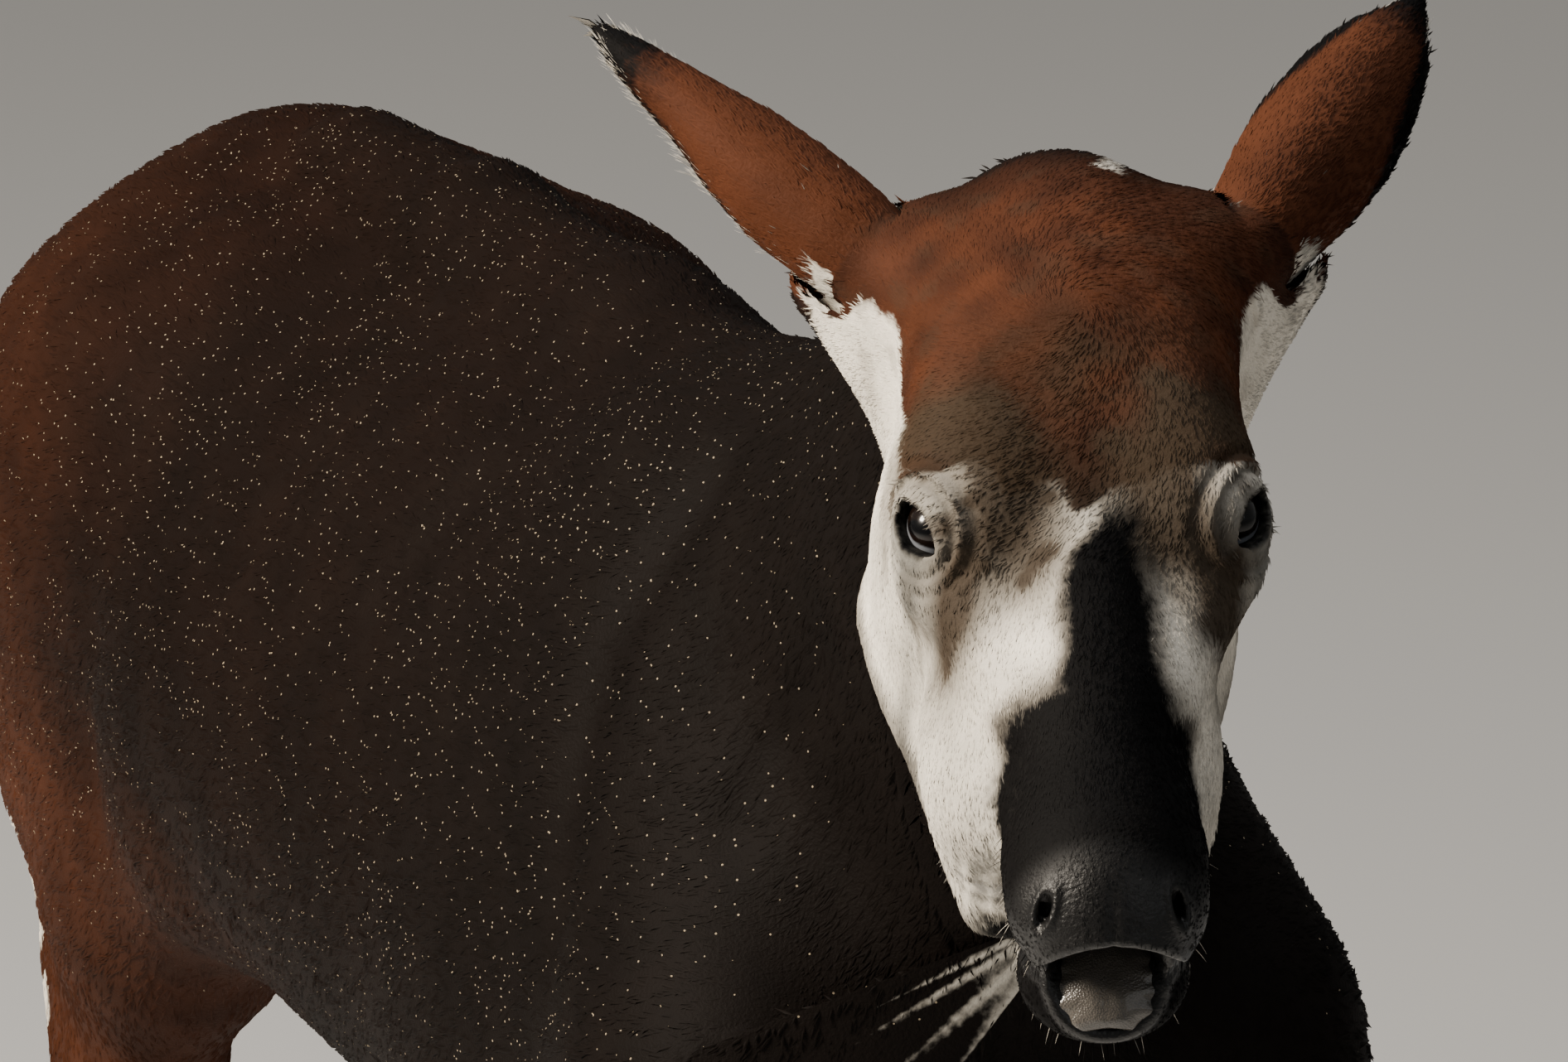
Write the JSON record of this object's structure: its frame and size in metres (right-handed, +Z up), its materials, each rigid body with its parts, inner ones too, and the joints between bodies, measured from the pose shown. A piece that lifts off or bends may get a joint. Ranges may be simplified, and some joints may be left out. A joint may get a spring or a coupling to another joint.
{
  "type": "okapi",
  "caption": "Life-size still model of a standing okapi, its head turned a little to its right, ears spread, mouth slightly open and a tufted tail hanging down.",
  "frame": {"origin": "on the floor under the middle of the whole animal", "axes": "+Z up, -Y the way the animal faces, +X to its left"},
  "size_m": [0.5238, 2.0044, 1.8062],
  "materials": {
    "hide": "short velvety dark brown coat",
    "pale_hide": "short cream coat of the lower legs",
    "horn": "satin dark hoof horn",
    "eye": "polished dark brown",
    "tongue": "wet grey"
  },
  "bodies": {
    "root": {"torso": "hide", "neck": "hide", "head": "hide", "tongue": "tongue", "tail": "hide", "ear_right": "hide", "eye_right": "eye", "front_leg_right": "pale_hide", "front_hoof_right": "horn", "hind_leg_right": "pale_hide", "hind_hoof_right": "horn", "ear_left": "hide", "eye_left": "eye", "front_leg_left": "pale_hide", "front_hoof_left": "horn", "hind_leg_left": "pale_hide", "hind_hoof_left": "horn"}
  },
  "joints": []
}
